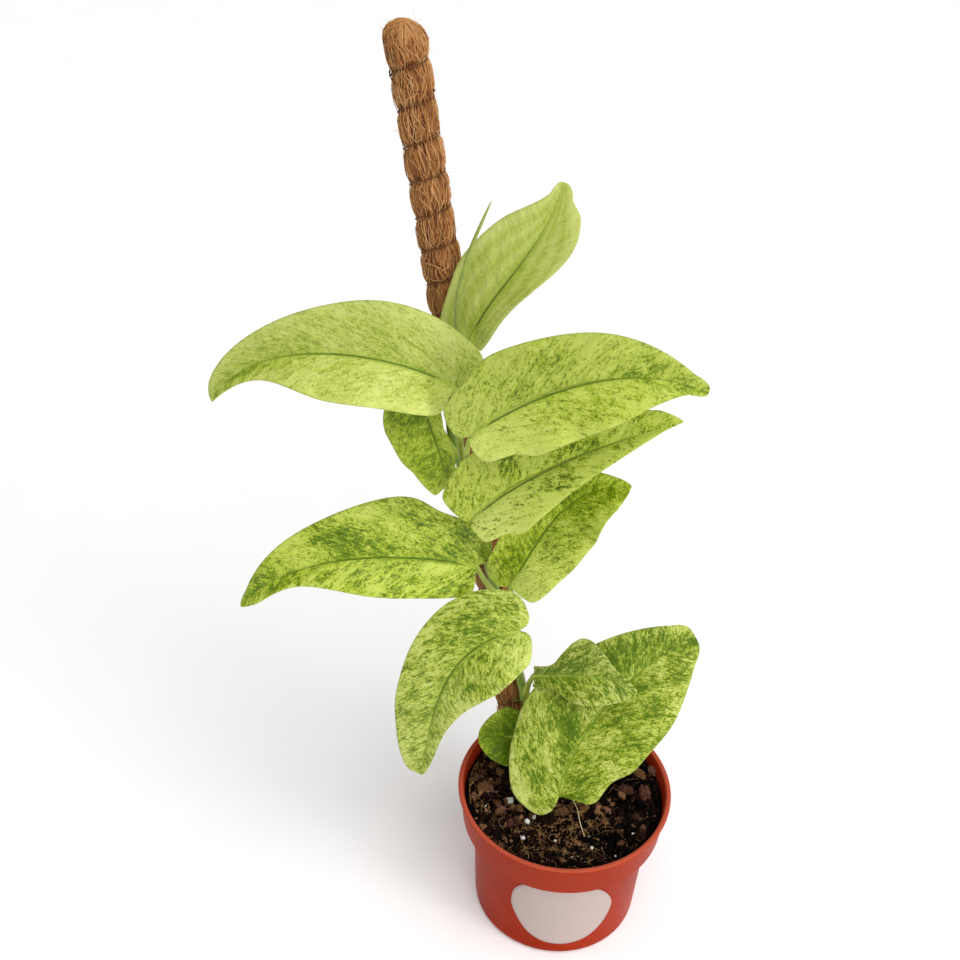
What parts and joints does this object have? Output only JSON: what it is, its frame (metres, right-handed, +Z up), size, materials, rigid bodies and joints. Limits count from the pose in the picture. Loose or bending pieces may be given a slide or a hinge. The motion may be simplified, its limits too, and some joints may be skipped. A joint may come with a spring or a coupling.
{
  "type": "potted rhaphidophora korthalsii",
  "caption": "Climbing variegated aroid with mottled lime leaves on arching petioles, tied to a leaning coir pole in a small round terracotta-coloured nursery pot.",
  "frame": {"origin": "centre of the flat underside of the pot, where it stands", "axes": "+Z up; -Y is the side that the leaves face and the label is on; +X to the right seen from there"},
  "size_m": [0.2476, 0.12, 0.5208],
  "materials": {
    "terracotta_plastic": "smooth, slightly glossy moulded plastic",
    "label_paper": "satin sticker paper, blank",
    "potting_mix": "dark, damp, crumbly mix of bark, fibre and peat",
    "stake_plastic": "dark, matt",
    "coir_fibre": "coarse matted fibre",
    "tie_thread": "twisted, matt",
    "stem_skin": "smooth living skin; stands in for plant tissue",
    "spear_skin": "smooth, rolled; stands in for plant tissue",
    "leaf_01_skin": "smooth, softly glossy, mottled; stands in for plant tissue",
    "leaf_02_skin": "smooth, softly glossy, mottled; stands in for plant tissue",
    "leaf_03_skin": "smooth, softly glossy, mottled; stands in for plant tissue",
    "leaf_04_skin": "smooth, softly glossy, mottled; stands in for plant tissue",
    "leaf_05_skin": "smooth, softly glossy, mottled; stands in for plant tissue",
    "leaf_06_skin": "smooth, softly glossy, mottled; stands in for plant tissue",
    "leaf_07_skin": "smooth, softly glossy, mottled; stands in for plant tissue",
    "leaf_08_skin": "smooth, softly glossy, mottled; stands in for plant tissue",
    "leaf_09_skin": "smooth, softly glossy, mottled; stands in for plant tissue",
    "leaf_10_skin": "smooth, softly glossy, mottled; stands in for plant tissue",
    "leaf_11_skin": "smooth, softly glossy, mottled; stands in for plant tissue"
  },
  "bodies": {
    "root": {"pot": "terracotta_plastic", "label": "label_paper", "soil": "potting_mix", "pole_stake": "stake_plastic", "pole_coir": "coir_fibre", "pole_thread": "tie_thread", "stem": "stem_skin", "leaf_01": "leaf_01_skin", "leaf_02": "leaf_02_skin", "leaf_03": "leaf_03_skin", "leaf_04": "leaf_04_skin", "leaf_05": "leaf_05_skin", "leaf_06": "leaf_06_skin", "leaf_07": "leaf_07_skin", "leaf_08": "leaf_08_skin", "leaf_09": "leaf_09_skin", "leaf_10": "leaf_10_skin", "leaf_11": "leaf_11_skin", "new_leaf": "spear_skin"}
  },
  "joints": []
}
